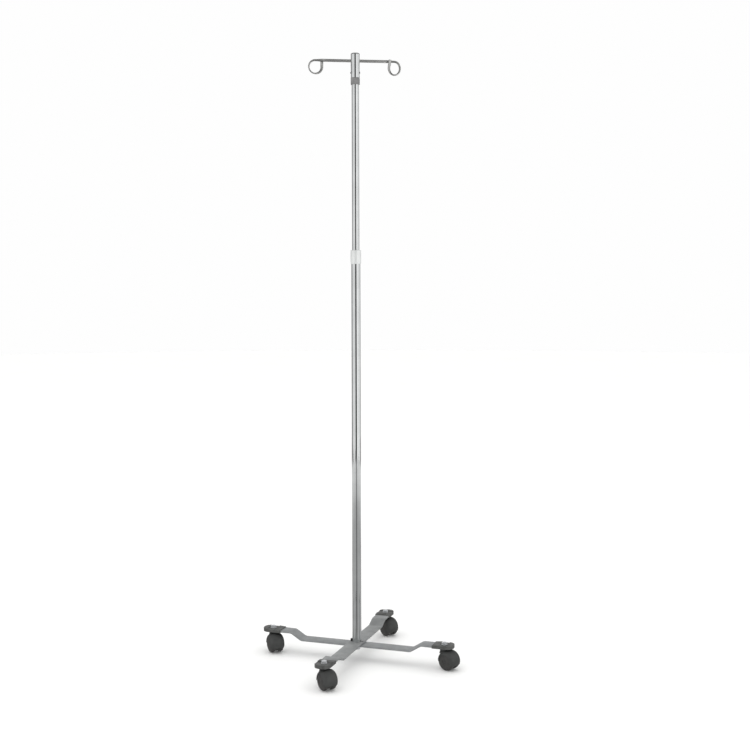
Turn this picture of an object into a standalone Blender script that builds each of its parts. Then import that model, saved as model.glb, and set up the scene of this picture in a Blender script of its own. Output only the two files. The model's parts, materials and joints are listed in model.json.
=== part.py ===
"""Two-hook telescoping IV stand on four twin-wheel casters.

Run with: blender --background --python part.py
Metres, +Z up. The pole stands on the Z axis and the floor is at Z = 0. X runs along the lower
leg bar, Y along the upper one, and the stand's front is at -Y.
"""

import math

import bmesh
import bpy
from mathutils import Matrix, Vector

MM = 0.001
GAP = 0.3 * MM  # left between pieces that touch

# Casters
WHEEL_RADIUS = 25 * MM
WHEEL_STEPS = 24
AXLE_HEIGHT = WHEEL_RADIUS * math.cos(math.pi / WHEEL_STEPS)  # each wheel stands on one of its flats
WHEEL_WIDTH = 16.4 * MM
WHEEL_CROWN = 7 * MM  # from the inner face out to the widest part of the tread
WHEEL_INNER_BULGE = 10 * MM
TRAIL = 16 * MM  # from the swivel axis back to the axle
WEB_HALF = 6 * MM
WEB_RADIUS = 21.5 * MM
HOOD_RADIUS = 28.3 * MM
HOOD_HALF_WIDTH = 23 * MM
HOOD_FULLNESS = 3.5  # 2 is an ellipse, and more is boxier
HOOD_RIM_ANGLE = 59  # degrees round the hood's section to its open sides
HOOD_WALL = 1.3 * MM
HOOD_FRONT_EDGE = 25 * MM  # height of its lower edge on the swivel's side
HOOD_REAR_EDGE = 15 * MM
NECK_RADIUS = 11 * MM
NECK_TOP = 54.5 * MM
AXLE_RADIUS = 3 * MM
STEM_RADIUS = 4 * MM
STEM_FOOT = 32 * MM
CASTER_TURN = {"front": -41, "left": -49, "right": -23, "rear": -37}  # degrees from +X to the trail

# Legs
LEG_END = 261 * MM
STEM_REACH = 252 * MM
BAR_WIDTH = 40 * MM
BAR_THICKNESS = 5 * MM
LOWER_BAR_BOTTOM = 40 * MM
UPPER_BAR_BOTTOM = LOWER_BAR_BOTTOM + BAR_THICKNESS + GAP
HUB_TOP = UPPER_BAR_BOTTOM + BAR_THICKNESS
LEG_END_BOTTOM = 58.5 * MM
JOGGLE_INNER = 160 * MM
JOGGLE_OUTER = 190 * MM
JOGGLE_RADIUS = 12 * MM
BAR_EDGE = 0.6 * MM
LEGS = {"front": -90, "left": 180, "right": 0, "rear": 90}  # degrees from +X

# Moulded leg caps
CAP_INNER_END = 222 * MM
CAP_TIP = 279 * MM
CAP_WIDTH = 44 * MM
CAP_BOTTOM = 57.2 * MM
CAP_TOP = 66.6 * MM
CAP_VALLEY = 64.8 * MM
CAP_VALLEY_HALF = 8.4 * MM
CAP_NOSE_RADIUS = 21 * MM
CAP_SHOULDER = 4.5 * MM  # how far its long top edges are rounded

# Stem nuts
NUT_ACROSS_FLATS = 13 * MM
NUT_HEIGHT = 5.2 * MM
WASHER_RADIUS = 8 * MM
WASHER_THICKNESS = 1.2 * MM

# Base bolt, which draws both bars up against the foot of the pole
BOLT_RADIUS = 5 * MM
BOLT_HEAD_ACROSS_FLATS = 17 * MM
BOLT_HEAD_HEIGHT = 6.4 * MM
BASE_WASHER_RADIUS = 14 * MM
BASE_WASHER_THICKNESS = 2 * MM
SPRING_WASHER_RADIUS = 9 * MM
SPRING_WASHER_THICKNESS = 2.4 * MM
PIN_RADIUS = 2.8 * MM
PIN_X = 15.9 * MM

# Pole
OUTER_RADIUS = 12.5 * MM
OUTER_WALL = 1.2 * MM
OUTER_TOP = 1109 * MM
INNER_RADIUS = 10 * MM
INNER_WALL = 1 * MM
INNER_BOTTOM = 532 * MM
INNER_TOP = 1619 * MM
COLLAR_RADIUS = 14.3 * MM
COLLAR_BOTTOM = 1094 * MM
COLLAR_TOP = 1131.4 * MM
COLLAR_CHAMFER = 2.4 * MM
RING_RADIUS = 12.2 * MM
RING_BOTTOM = 1571.9 * MM
HEAD_BOTTOM = 1589.8 * MM
HEAD_TUBE_TOP = 1647 * MM
HEAD_TOP = 1655 * MM
HEAD_RADIUS = 12.1 * MM
HEAD_BORE = INNER_RADIUS + GAP

# Hook strap: a flat bar on edge, twisted and curled into a loop at each end
HOOK_TURN = 26.5  # degrees from +X
STRAP_HEIGHT = 1634.3 * MM
STRAP_WIDTH = 7.6 * MM
STRAP_THICKNESS = 3 * MM
STRAP_PASS = 6 * MM  # how far each end stands aside to pass the bar
LOOPS = {
    "left": {"side": -1, "centre": 106.6, "half_width": 17.6, "half_height": 17.2, "rise": 2, "lean": 0},
    "right": {"side": 1, "centre": 105.4, "half_width": 15.3, "half_height": 17.9, "rise": 4.5, "lean": 9},
}

# Snap buttons
BUTTON_TURN = 19.0  # degrees from +X
BUTTON_HEIGHT = 1603.2 * MM
BUTTON_RADIUS = 3 * MM
BUTTON_TIP = 13 * MM
BUTTON_BACK = 6.2 * MM
BUTTON_FLANGE_FRONT = 8.5 * MM
LEAF_REACH = 2.2 * MM

ROUND_STEPS = 24
SMALL_STEPS = 12

# Colour, roughness and metallic value of each finish
FINISHES = {
    "chrome_tube": ((0.72, 0.73, 0.73), 0.18, 1.0),
    "bright_collar": ((0.86, 0.87, 0.86), 0.3, 1.0),
    "satin_leg_steel": ((0.27, 0.28, 0.28), 0.45, 0.6),
    "zinc_fastener": ((0.62, 0.62, 0.6), 0.3, 1.0),
    "strap_steel": ((0.36, 0.36, 0.35), 0.32, 1.0),
    "charcoal_cap": ((0.075, 0.078, 0.076), 0.55, 0.0),
    "black_nylon": ((0.042, 0.043, 0.042), 0.5, 0.0),
    "grey_bush": ((0.2, 0.2, 0.205), 0.5, 0.0),
    "white_acetal": ((0.75, 0.75, 0.72), 0.45, 0.0),
    "dark_steel": ((0.03, 0.03, 0.03), 0.45, 0.8),
    "spring_steel": ((0.4, 0.4, 0.42), 0.3, 1.0),
}


# ---------------------------------------------------------------- scene and modelling helpers


def clear_scene():
    for thing in list(bpy.data.objects):
        bpy.data.objects.remove(thing, do_unlink=True)


def make_finishes():
    finishes = {}
    for name, (colour, roughness, metallic) in FINISHES.items():
        finish = bpy.data.materials.new(name)
        finish.use_nodes = True
        shader = finish.node_tree.nodes["Principled BSDF"]
        shader.inputs["Base Color"].default_value = (*colour, 1)
        shader.inputs["Roughness"].default_value = roughness
        shader.inputs["Metallic"].default_value = metallic
        finishes[name] = finish
    return finishes


def remove(thing):
    """Remove an object and the mesh that only it used."""
    mesh = thing.data
    bpy.data.objects.remove(thing, do_unlink=True)
    if mesh.users == 0 and isinstance(mesh, bpy.types.Mesh):
        bpy.data.meshes.remove(mesh)


def freeze(body):
    """Give the body the mesh that its modifiers make."""
    shaped = body.evaluated_get(bpy.context.evaluated_depsgraph_get())
    mesh = bpy.data.meshes.new_from_object(shaped)
    body.modifiers.clear()
    body.data = mesh


def weld(mesh):
    """Merge points that are in the same place, and drop the slivers between them."""
    cage = bmesh.new()
    cage.from_mesh(mesh)
    bmesh.ops.remove_doubles(cage, verts=cage.verts, dist=0.000001)
    bmesh.ops.dissolve_degenerate(cage, edges=cage.edges, dist=0.000001)
    cage.to_mesh(mesh)
    cage.free()


def combine(body, tool, operation="DIFFERENCE"):
    """Cut the body with the tool, or join the tool to it, and remove the tool."""
    boolean = body.modifiers.new(operation, "BOOLEAN")
    boolean.operation = operation
    boolean.solver = "EXACT"
    boolean.object = tool
    freeze(body)
    weld(body.data)
    remove(tool)


def from_points(name, points, edges, faces=()):
    mesh = bpy.data.meshes.new(name)
    mesh.from_pydata(points, edges, faces)
    body = bpy.data.objects.new(name, mesh)
    bpy.context.scene.collection.objects.link(body)
    return body


def turned(profile, steps=ROUND_STEPS):
    """Turn a profile of (radius, height) about Z.

    It runs down its outer side. One that starts and ends on the axis is a solid, and any other is
    closed into a ring.
    """
    points = [(radius, 0, height) for radius, height in profile]
    edges = [(i, i + 1) for i in range(len(points) - 1)]
    if profile[0][0] > 0:
        edges.append((len(points) - 1, 0))
    body = from_points("turned", points, edges)
    screw = body.modifiers.new("turn", "SCREW")
    screw.steps = steps
    screw.render_steps = steps
    screw.use_merge_vertices = True
    screw.merge_threshold = 0.000001
    freeze(body)
    body.data.shade_smooth()
    body.data.set_sharp_from_angle(angle=math.radians(35))
    return body


def ring(inner, outer, bottom, top, steps=ROUND_STEPS):
    return turned([(outer, top), (outer, bottom), (inner, bottom), (inner, top)], steps)


def rod(radius, bottom, top, chamfer=0.0, steps=SMALL_STEPS):
    profile = [(0, top), (radius - chamfer, top), (radius, top - chamfer)]
    profile += [(radius, bottom + chamfer), (radius - chamfer, bottom), (0, bottom)]
    if not chamfer:
        profile = [(0, top), (radius, top), (radius, bottom), (0, bottom)]
    return turned(profile, steps)


def hexagon(across_flats, bottom, top):
    bpy.ops.mesh.primitive_cylinder_add(
        vertices=6,
        radius=across_flats / math.sqrt(3),
        depth=top - bottom,
        location=(0, 0, (top + bottom) / 2),
    )
    body = bpy.context.object
    place_in_mesh(body)
    return body


def block(low, high):
    """A box between two opposite corners."""
    size = Vector(high) - Vector(low)
    bpy.ops.mesh.primitive_cube_add(size=1, location=(Vector(low) + Vector(high)) / 2, scale=size)
    body = bpy.context.object
    place_in_mesh(body)
    return body


def lying_cylinder(radius, centre, length, steps=ROUND_STEPS):
    """A cylinder along Y, centred on the given point, with a flat at its bottom."""
    bpy.ops.mesh.primitive_cylinder_add(vertices=steps, radius=radius, depth=length)
    body = bpy.context.object
    half_step = Matrix.Rotation(math.pi / steps, 4, "Z")
    lie_down = Matrix.Rotation(math.pi / 2, 4, "X")
    body.data.transform(Matrix.Translation(centre) @ lie_down @ half_step)
    return body


def place_in_mesh(body):
    """Move the body's place and scale from the object into its mesh."""
    bpy.context.view_layer.update()
    body.data.transform(body.matrix_world)
    body.matrix_world = Matrix.Identity(4)


def outline_solid(points, half_depth):
    """A flat outline in X and Y, made solid half_depth up and down along Z."""
    curve = bpy.data.curves.new("outline", "CURVE")
    curve.dimensions = "2D"
    curve.fill_mode = "BOTH"
    curve.extrude = half_depth
    spline = curve.splines.new("POLY")
    spline.points.add(len(points) - 1)
    for point, (x, y) in zip(spline.points, points):
        point.co = (x, y, 0, 1)
    spline.use_cyclic_u = True
    drawn = bpy.data.objects.new("outline", curve)
    bpy.context.scene.collection.objects.link(drawn)
    shaped = drawn.evaluated_get(bpy.context.evaluated_depsgraph_get())
    mesh = bpy.data.meshes.new_from_object(shaped)
    bpy.data.objects.remove(drawn, do_unlink=True)
    weld(mesh)
    body = bpy.data.objects.new("outline", mesh)
    bpy.context.scene.collection.objects.link(body)
    return body


def arc(centre, radius, start, end, steps):
    """Points on an arc, with angles in degrees, both ends included."""
    points = []
    for step in range(steps + 1):
        angle = math.radians(start + (end - start) * step / steps)
        points.append((centre[0] + radius * math.cos(angle), centre[1] + radius * math.sin(angle)))
    return points


def filleted(corners, radius, steps=4):
    """A polyline through the corners, with each bend rounded to the radius."""
    path = [corners[0]]
    for before, corner, after in zip(corners, corners[1:], corners[2:]):
        corner = Vector(corner)
        to_before = (Vector(before) - corner).normalized()
        to_after = (Vector(after) - corner).normalized()
        half_angle = to_before.angle(to_after) / 2
        centre = corner + (to_before + to_after).normalized() * radius / math.sin(half_angle)
        start = corner + to_before * radius / math.tan(half_angle) - centre
        end = corner + to_after * radius / math.tan(half_angle) - centre
        start_angle = math.degrees(math.atan2(start.y, start.x))
        sweep = math.degrees(math.atan2(start.cross(end), start.dot(end)))
        path += arc(centre, radius, start_angle, start_angle + sweep, steps)
    return path + [corners[-1]]


def ribbon(edges, thickness):
    """A strip between two rows of points, given its thickness to both sides."""
    points = [point for pair in edges for point in pair]
    faces = [(2 * i, 2 * i + 1, 2 * i + 3, 2 * i + 2) for i in range(len(edges) - 1)]
    body = from_points("ribbon", points, [], faces)
    wall = body.modifiers.new("thickness", "SOLIDIFY")
    wall.thickness = thickness
    wall.offset = 0
    wall.use_even_offset = True
    return body


# ---------------------------------------------------------------- base


def leg_bar(hub_bottom):
    """A flat bar along X that steps up towards its two ends."""
    hub = hub_bottom + BAR_THICKNESS / 2
    end = LEG_END_BOTTOM + BAR_THICKNESS / 2
    corners = [(-LEG_END, end), (-JOGGLE_OUTER, end), (-JOGGLE_INNER, hub)]
    corners += [(-x, z) for x, z in reversed(corners)]
    half = BAR_WIDTH / 2
    body = ribbon([((x, half, z), (x, -half, z)) for x, z in filleted(corners, JOGGLE_RADIUS)], BAR_THICKNESS)
    edge = body.modifiers.new("edge", "BEVEL")
    edge.width = BAR_EDGE
    edge.segments = 1
    edge.limit_method = "ANGLE"
    edge.angle_limit = math.radians(60)
    freeze(body)
    for reach in (-STEM_REACH, STEM_REACH):
        hole = rod(STEM_RADIUS + GAP, LEG_END_BOTTOM - BAR_THICKNESS, LEG_END_BOTTOM + 2 * BAR_THICKNESS)
        hole.location.x = reach
        combine(body, hole)
    combine(body, rod(BOLT_RADIUS + GAP, 0, 2 * HUB_TOP))
    return body


def drill_pin_holes(body, turn):
    """Drill the two locating pins' holes; turn is where the right-hand one is, in degrees from +X."""
    for side in (-1, 1):
        angle = math.radians(turn)
        hole = rod(PIN_RADIUS + GAP, 0, 2 * HUB_TOP)
        hole.location = (side * PIN_X * math.cos(angle), side * PIN_X * math.sin(angle), 0)
        combine(body, hole)


def lower_leg_bar():
    body = leg_bar(LOWER_BAR_BOTTOM)
    drill_pin_holes(body, 0)
    return body


def upper_leg_bar():
    """The bar under the pole. It is drilled before it is turned to lie along Y."""
    body = leg_bar(UPPER_BAR_BOTTOM)
    drill_pin_holes(body, -90)
    body.rotation_euler.z = math.radians(90)
    return body


def base_bolt():
    head_top = LOWER_BAR_BOTTOM - BASE_WASHER_THICKNESS - SPRING_WASHER_THICKNESS - 3 * GAP
    body = hexagon(BOLT_HEAD_ACROSS_FLATS, head_top - BOLT_HEAD_HEIGHT, head_top)
    shank = rod(BOLT_RADIUS, head_top - BOLT_HEAD_HEIGHT / 2, HUB_TOP + 24 * MM, 0.8 * MM)
    combine(body, shank, "UNION")
    return body


def base_spring_washer():
    top = LOWER_BAR_BOTTOM - BASE_WASHER_THICKNESS - 2 * GAP
    body = ring(BOLT_RADIUS + GAP, SPRING_WASHER_RADIUS, top - SPRING_WASHER_THICKNESS, top, 24)
    half_split = 0.8 * MM
    combine(body, block((0, -half_split, 0), (2 * SPRING_WASHER_RADIUS, half_split, 2 * top)))
    return body


def leg_cap():
    """A moulded cap along +X: two low domes with a cross valley for the nut between them."""
    valley_inner = STEM_REACH - CAP_VALLEY_HALF
    valley_outer = STEM_REACH + CAP_VALLEY_HALF
    dome_slope = 2 * MM
    lip = 1.2 * MM
    under = 3 * MM
    over = 4.5 * MM
    side = [(CAP_INNER_END, CAP_BOTTOM)]
    side += arc((CAP_TIP - under, CAP_BOTTOM + under), under, -90, 0, 3)
    side += arc((CAP_TIP - over, CAP_TOP - over), over, 0, 90, 5)
    side += [(valley_outer + dome_slope, CAP_TOP), (valley_outer, CAP_VALLEY)]
    side += [(valley_inner, CAP_VALLEY), (valley_inner - dome_slope, CAP_TOP)]
    side += [(CAP_INNER_END + 5 * MM, CAP_TOP - lip / 2), (CAP_INNER_END, CAP_TOP - 2 * lip)]
    body = outline_solid(side, CAP_WIDTH)
    body.data.transform(Matrix.Rotation(math.pi / 2, 4, "X"))
    half = CAP_WIDTH / 2
    turn = half - CAP_NOSE_RADIUS
    plan = [(CAP_INNER_END - 1 * MM, -half)]
    plan += arc((CAP_TIP - CAP_NOSE_RADIUS, -turn), CAP_NOSE_RADIUS, -90, 0, 6)
    plan += arc((CAP_TIP - CAP_NOSE_RADIUS, turn), CAP_NOSE_RADIUS, 0, 90, 6)
    plan += [(CAP_INNER_END - 1 * MM, half)]
    combine(body, outline_solid(plan, 2 * CAP_TOP), "INTERSECT")
    shoulder = (CAP_TOP - CAP_SHOULDER, half - CAP_SHOULDER)
    section = [(0, -half), (0, half)]
    section += [(x, y) for x, y in reversed(arc(shoulder, CAP_SHOULDER, 0, 90, 4))]
    section += [(x, -y) for x, y in arc(shoulder, CAP_SHOULDER, 0, 90, 4)]
    rounded = outline_solid(section, 2 * CAP_TIP)
    rounded.data.transform(Matrix.Rotation(-math.pi / 2, 4, "Y"))
    combine(body, rounded, "INTERSECT")
    pocket_half = BAR_WIDTH / 2 + GAP
    pocket_low = (CAP_INNER_END - 5 * MM, -pocket_half, LEG_END_BOTTOM - GAP)
    pocket_high = (LEG_END + GAP, pocket_half, LEG_END_BOTTOM + BAR_THICKNESS + GAP)
    combine(body, block(pocket_low, pocket_high))
    hole = rod(STEM_RADIUS + GAP, CAP_BOTTOM - 5 * MM, CAP_TOP + 5 * MM)
    hole.location.x = STEM_REACH
    combine(body, hole)
    return body


# ---------------------------------------------------------------- casters


def caster_stem():
    """A threaded stem with a shoulder, and the pin below it that the housing turns on."""
    shoulder_top = CAP_BOTTOM - GAP
    shoulder_bottom = NECK_TOP + GAP
    nut_top = CAP_VALLEY + 2 * GAP + WASHER_THICKNESS + NUT_HEIGHT
    tip = nut_top + 1.2 * MM
    shoulder = 9 * MM
    chamfer = 0.6 * MM
    profile = [(0, tip), (STEM_RADIUS - chamfer, tip), (STEM_RADIUS, tip - chamfer)]
    profile += [(STEM_RADIUS, shoulder_top), (shoulder, shoulder_top), (shoulder, shoulder_bottom)]
    profile += [(STEM_RADIUS, shoulder_bottom), (STEM_RADIUS, STEM_FOOT), (0, STEM_FOOT)]
    return turned(profile, SMALL_STEPS)


def stem_washer():
    bottom = CAP_VALLEY + GAP
    return ring(STEM_RADIUS + GAP, WASHER_RADIUS, bottom, bottom + WASHER_THICKNESS, SMALL_STEPS)


def stem_nut():
    bottom = CAP_VALLEY + 2 * GAP + WASHER_THICKNESS
    body = hexagon(NUT_ACROSS_FLATS, bottom, bottom + NUT_HEIGHT)
    combine(body, rod(STEM_RADIUS + GAP, bottom - NUT_HEIGHT, bottom + 2 * NUT_HEIGHT))
    return body


def hood_section(inset=0.0, steps=4):
    """The hood's section as radius and height, from one side's rim over the top to the other's."""
    half = []
    for step in range(steps + 1):
        angle = math.radians(HOOD_RIM_ANGLE) * (1 - step / steps)
        radius = HOOD_RADIUS * math.cos(angle) ** (2 / HOOD_FULLNESS)
        half.append((radius - inset, HOOD_HALF_WIDTH * math.sin(angle) ** (2 / HOOD_FULLNESS)))
    return half + [(radius, -height) for radius, height in reversed(half[:-1])]


def lay_on_axle(body, turn=90):
    """Lay a body that was turned about Z along Y, centred on the axle."""
    body.data.transform(Matrix.Rotation(math.radians(turn), 4, "X"))
    body.data.transform(Matrix.Translation((TRAIL, 0, AXLE_HEIGHT)))
    return body


def below_hood():
    """A cutter for all that is below the hood's sloping lower edge, apart from the web."""
    reach = HOOD_RADIUS + 4 * MM
    side = [(TRAIL - reach, HOOD_FRONT_EDGE), (TRAIL - reach, -reach)]
    side += [(TRAIL + reach, -reach), (TRAIL + reach, HOOD_REAR_EDGE)]
    cutter = outline_solid(side, reach)
    cutter.data.transform(Matrix.Rotation(math.pi / 2, 4, "X"))
    combine(cutter, lying_cylinder(WEB_RADIUS, (TRAIL, 0, AXLE_HEIGHT), 4 * reach))
    return cutter


def caster_housing():
    """The hood over both wheels, the web between them and the neck, about the swivel axis."""
    outside = hood_section()
    rim = outside[0][1]
    body = lay_on_axle(turned([(0, rim)] + outside + [(0, -rim)], WHEEL_STEPS))
    combine(body, rod(NECK_RADIUS, STEM_FOOT - 3 * MM, NECK_TOP, 0.8 * MM, 16), "UNION")
    inside = hood_section(HOOD_WALL)
    mouth = inside[0][0]
    cavity = [(0, 2 * rim), (mouth, 2 * rim)] + inside + [(mouth, -2 * rim), (0, -2 * rim)]
    combine(body, lay_on_axle(turned(cavity, WHEEL_STEPS)))
    web = rod(HOOD_RADIUS - HOOD_WALL / 2, -WEB_HALF, WEB_HALF, steps=WHEEL_STEPS)
    combine(body, lay_on_axle(web), "UNION")
    combine(body, below_hood())
    combine(body, lying_cylinder(AXLE_RADIUS + GAP, (TRAIL, 0, AXLE_HEIGHT), 2 * rim, SMALL_STEPS))
    combine(body, rod(STEM_RADIUS + GAP, STEM_FOOT - GAP, NECK_TOP + 5 * MM))
    return body


def wheel():
    """A crowned wheel about Z: its inner face at Z = 0, a domed outside and a blind bore."""
    dome_depth = WHEEL_WIDTH - WHEEL_CROWN
    dome_steps = 5
    profile = [(0, WHEEL_WIDTH)]
    for step in range(1, dome_steps + 1):
        angle = math.pi / 2 * (1 - step / dome_steps)
        profile.append((WHEEL_RADIUS * math.cos(angle), WHEEL_CROWN + dome_depth * math.sin(angle)))
    bulge_power = 2.5
    for share in (0.4, 0.75, 1):
        depth = share * WHEEL_CROWN
        radius = WHEEL_RADIUS * (1 - (depth / WHEEL_INNER_BULGE) ** bulge_power) ** (1 / bulge_power)
        profile.append((radius, WHEEL_CROWN - depth))
    bore = AXLE_RADIUS + GAP
    bore_depth = WHEEL_WIDTH - 3 * MM
    profile += [(bore, 0), (bore, bore_depth), (0, bore_depth)]
    return turned(profile, WHEEL_STEPS)


def caster_axle():
    half = WEB_HALF + GAP + WHEEL_WIDTH - 3.6 * MM
    return rod(AXLE_RADIUS, -half, half, 0.5 * MM)


# ---------------------------------------------------------------- pole


def pole_foot_plug():
    """A threaded plug in the bottom of the outer tube."""
    radius = OUTER_RADIUS - OUTER_WALL - GAP
    return ring(BOLT_RADIUS + GAP, radius, HUB_TOP + 1 * MM, HUB_TOP + 28 * MM)


def lock_collar():
    """The collar that is screwed down over the collet to grip the inner tube."""
    bore = OUTER_RADIUS + GAP
    mouth = INNER_RADIUS + GAP
    profile = [(COLLAR_RADIUS - COLLAR_CHAMFER, COLLAR_TOP), (COLLAR_RADIUS, COLLAR_TOP - COLLAR_CHAMFER)]
    profile += [(COLLAR_RADIUS, COLLAR_BOTTOM + 0.5 * MM), (COLLAR_RADIUS - 0.5 * MM, COLLAR_BOTTOM)]
    profile += [(bore, COLLAR_BOTTOM), (bore, OUTER_TOP + 3 * MM), (mouth + 1 * MM, COLLAR_TOP - 7 * MM)]
    profile += [(mouth, COLLAR_TOP - 5 * MM), (mouth, COLLAR_TOP)]
    return turned(profile)


def grip_collet():
    """A split plastic collet: its sleeve lines the outer tube, and its cone fits the collar."""
    bore = INNER_RADIUS + GAP
    sleeve = OUTER_RADIUS - OUTER_WALL - GAP
    cone_bottom = OUTER_TOP + GAP
    profile = [(bore + 0.6 * MM, COLLAR_TOP - 8 * MM), (OUTER_RADIUS - 0.5 * MM, cone_bottom + 3 * MM)]
    profile += [(OUTER_RADIUS - 0.5 * MM, cone_bottom), (sleeve, cone_bottom), (sleeve, OUTER_TOP - 27 * MM)]
    profile += [(bore, OUTER_TOP - 27 * MM), (bore, COLLAR_TOP - 8 * MM)]
    body = turned(profile)
    split_half = 0.6 * MM
    split_low = (0, -split_half, OUTER_TOP - 12 * MM)
    split_high = (2 * OUTER_RADIUS, split_half, COLLAR_TOP)
    combine(body, block(split_low, split_high))
    return body


def slide_bush():
    """The bush that runs in the outer tube and carries the inner tube's lower end."""
    flange = OUTER_RADIUS - OUTER_WALL - GAP
    spigot = INNER_RADIUS - INNER_WALL - GAP
    foot = INNER_BOTTOM - GAP
    profile = [(spigot, foot + 18 * MM), (spigot, foot), (flange, foot), (flange, foot - 8 * MM)]
    profile += [(flange - 1 * MM, foot - 9 * MM), (4 * MM, foot - 9 * MM), (4 * MM, foot + 18 * MM)]
    return turned(profile)


def button_hole(outer_radius):
    """A cutter for the two snap buttons' holes, across the tube."""
    hole = lying_cylinder(BUTTON_RADIUS + GAP, (0, 0, BUTTON_HEIGHT), 4 * outer_radius, SMALL_STEPS)
    hole.rotation_euler.z = math.radians(BUTTON_TURN - 90)
    return hole


def inner_tube():
    body = ring(INNER_RADIUS - INNER_WALL, INNER_RADIUS, INNER_BOTTOM, INNER_TOP)
    combine(body, button_hole(INNER_RADIUS))
    return body


def stop_ring():
    """The soft ring under the head, which lands on the collar when the pole is pushed down."""
    edge = 0.8 * MM
    bore = INNER_RADIUS + GAP
    top = HEAD_BOTTOM - GAP
    profile = [(RING_RADIUS - edge, top), (RING_RADIUS, top - edge), (RING_RADIUS, RING_BOTTOM + edge)]
    profile += [(RING_RADIUS - edge, RING_BOTTOM), (bore, RING_BOTTOM), (bore, top)]
    return turned(profile)


# ---------------------------------------------------------------- head


def head_sleeve():
    body = ring(HEAD_BORE, HEAD_RADIUS, HEAD_BOTTOM, HEAD_TUBE_TOP)
    combine(body, button_hole(HEAD_RADIUS))
    half_slot = STRAP_THICKNESS / 2 + GAP
    slot_bottom = STRAP_HEIGHT - STRAP_WIDTH / 2 - GAP
    slot_top = STRAP_HEIGHT + STRAP_WIDTH / 2 + GAP
    slot = block((-2 * HEAD_RADIUS, -half_slot, slot_bottom), (2 * HEAD_RADIUS, half_slot, slot_top))
    slot.rotation_euler.z = math.radians(HOOK_TURN)
    combine(body, slot)
    return body


def head_cap():
    """A domed cap with a flat centre, on a spigot in the head sleeve."""
    shoulder = 4.6 * MM
    corner = (HEAD_RADIUS - shoulder, HEAD_TOP - shoulder)
    profile = [(0, HEAD_TOP)]
    profile += [(r, z) for r, z in reversed(arc(corner, shoulder, 0, 90, 5))]
    spigot = HEAD_BORE - GAP
    spigot_bottom = HEAD_TUBE_TOP - 5 * MM
    profile += [(HEAD_RADIUS, HEAD_TUBE_TOP + GAP), (spigot, HEAD_TUBE_TOP + GAP)]
    profile += [(spigot, spigot_bottom), (0, spigot_bottom)]
    return turned(profile)


def eased(share):
    """0 to 1 with a soft start and end, held outside that range."""
    share = min(max(share, 0.0), 1.0)
    return share * share * (3 - 2 * share)


def blend(start, end, share):
    return start + (end - start) * eased(share)


def loop_stations(side, centre, half_width, half_height, rise, lean):
    """Stations along one half of the strap, from the head to its tip.

    Each station is the strap's centre, the outward direction of its loop and its twist: -90
    degrees is on edge, with the bar's face to the front, and 0 is flat to the loop.
    """
    twist_start = centre - 32 * MM
    stations = []
    for reach in (0, 0.5 * twist_start, twist_start):
        stations.append((Vector((side * reach, 0, 0)), Vector((0, 0, 1)), -90.0))
    straight_steps = 5
    for step in range(1, straight_steps):
        reach = twist_start + (centre - twist_start) * step / straight_steps
        twist = blend(-90, -15, step / straight_steps)
        stations.append((Vector((side * reach, 0, 0)), Vector((0, 0, 1)), twist))
    arc_steps = 26
    for step in range(arc_steps + 1):
        share = step / arc_steps
        angle = math.radians(270 * share)
        outward = Vector((side * math.sin(angle), 0, math.cos(angle)))
        aside = -side * STRAP_PASS * eased((share - 0.2) / 0.8)
        reach = side * (centre + half_width * math.sin(angle))
        twist = -15 if share < 0.6 else blend(-15, -50, (share - 0.6) / 0.4)
        stations.append((Vector((reach, aside, half_height * (math.cos(angle) - 1))), outward, twist))
    foot = stations[-1][0]
    lean = math.radians(lean)
    upward = Vector((side * math.sin(lean), 0, math.cos(lean)))
    outward = Vector((-side * math.cos(lean), 0, math.sin(lean)))
    length = half_height + rise
    end_steps = 5
    for step in range(1, end_steps + 1):
        share = step / end_steps
        turning = foot.lerp(foot + upward * length, share)
        stations.append((turning, outward, blend(-50, -80, share)))
    return stations


def hook_strap():
    """One flat bar through the head, curled into a closed loop at each end."""
    loops = []
    for loop in LOOPS.values():
        sizes = {key: value if key in ("side", "lean") else value * MM for key, value in loop.items()}
        loops.append(loop_stations(**sizes))
    stations = list(reversed(loops[0])) + loops[1][1:]
    rearward = Vector((0, 1, 0))
    edges = []
    for index, (centre, outward, twist) in enumerate(stations):
        before = stations[max(index - 1, 0)][0]
        after = stations[min(index + 1, len(stations) - 1)][0]
        along = (after - before).normalized()
        angle = math.radians(twist)
        across = rearward * math.cos(angle) + outward * math.sin(angle)
        across = (across - along * across.dot(along)).normalized() * STRAP_WIDTH / 2
        edges.append((centre - across, centre + across))
    body = ribbon(edges, STRAP_THICKNESS)
    freeze(body)
    body.data.shade_smooth()
    body.data.set_sharp_from_angle(angle=math.radians(50))
    return body


def snap_button():
    """A button along +Z from the pole's axis: a domed nose and a flange inside the tube."""
    nose = 1.4 * MM
    flange = 4.2 * MM
    profile = [(0, BUTTON_TIP), (BUTTON_RADIUS - nose, BUTTON_TIP - 0.2 * MM)]
    profile += [(BUTTON_RADIUS - 0.3 * MM, BUTTON_TIP - 0.6 * MM), (BUTTON_RADIUS, BUTTON_TIP - nose)]
    profile += [(BUTTON_RADIUS, BUTTON_FLANGE_FRONT - 1 * MM), (flange, BUTTON_FLANGE_FRONT - 1 * MM)]
    profile += [(flange, BUTTON_BACK), (0, BUTTON_BACK)]
    return turned(profile, SMALL_STEPS)


def button_leaf():
    """A U-shaped leaf spring in the tube, with a leg behind each button."""
    leaf_half = 3 * MM
    legs_top = BUTTON_HEIGHT + 5 * MM
    bend = BUTTON_HEIGHT - 42 * MM
    side = [(-LEAF_REACH, legs_top)]
    side += arc((0, bend), LEAF_REACH, 180, 360, 6)
    side += [(LEAF_REACH, legs_top)]
    body = ribbon([((x, leaf_half, z), (x, -leaf_half, z)) for x, z in side], 0.6 * MM)
    freeze(body)
    return body


# ---------------------------------------------------------------- assembly


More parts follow.
